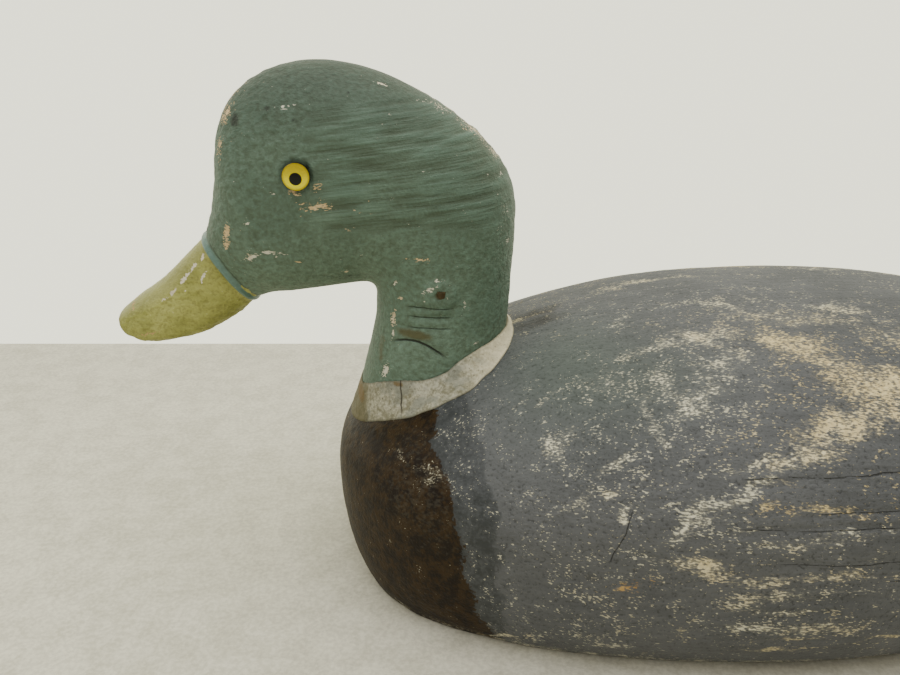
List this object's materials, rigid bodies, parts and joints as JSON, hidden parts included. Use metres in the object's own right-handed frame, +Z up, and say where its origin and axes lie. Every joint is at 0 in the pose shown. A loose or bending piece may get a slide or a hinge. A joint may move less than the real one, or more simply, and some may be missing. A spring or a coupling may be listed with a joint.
{
  "type": "floating duck decoy",
  "caption": "Hollow carved wooden drake decoy with a doweled head, glass eyes, an inset ballast pad and a ring tie under its breast, made to float on water.",
  "frame": {"origin": "on the flat bottom, on the middle plane, 128 mm behind the foremost point of the breast", "axes": "bill towards -X, tail towards +X, +Z up out of the back, the duck's left side towards -Y"},
  "size_m": [0.3935, 0.1561, 0.1632],
  "materials": {
    "body_wood": "worn flat grey paint over carved cedar",
    "head_wood": "aged green paint over carved pine",
    "bill_wood": "olive paint over carved pine",
    "filler": "chipped off-white paint over wood filler",
    "dowel_wood": "bare birch dowel",
    "glass": "clear domed glass",
    "iris_enamel": "yellow enamel",
    "pupil_enamel": "black enamel",
    "wire": "annealed iron wire",
    "eye_setting": "painted glazing putty",
    "lead": "cast lead gone dull",
    "screw_brass": "slotted brass screws",
    "tie_brass": "tarnished brass wire",
    "nail_steel": "bright nails, rusting",
    "nail_filler": "putty over sunk nail heads"
  },
  "bodies": {
    "decoy": {"body_top": "body_wood", "body_bottom": "body_wood", "head_block": "head_wood", "bill": "bill_wood", "neck_filler": "filler", "neck_dowel": "dowel_wood", "bill_dowel": "dowel_wood", "neck_nails": "nail_steel", "ballast_weight": "lead", "ballast_screws": "screw_brass", "line_staple": "tie_brass", "seam_nails": "nail_steel", "seam_pins": "dowel_wood", "nail_putty": "nail_filler", "eye_glass_left": "glass", "eye_iris_left": "iris_enamel", "eye_pupil_left": "pupil_enamel", "eye_wire_left": "wire", "eye_putty_left": "eye_setting", "eye_glass_right": "glass", "eye_iris_right": "iris_enamel", "eye_pupil_right": "pupil_enamel", "eye_wire_right": "wire", "eye_putty_right": "eye_setting"},
    "tie_ring": {"line_ring": "tie_brass"}
  },
  "joints": [
    {"name": "ring_swing", "type": "hinge", "parent": "decoy", "child": "tie_ring", "pos_m": [-0.09, 0, 0.0066], "axis": [0, 1, 0], "range_deg": [-17, 120]}
  ]
}
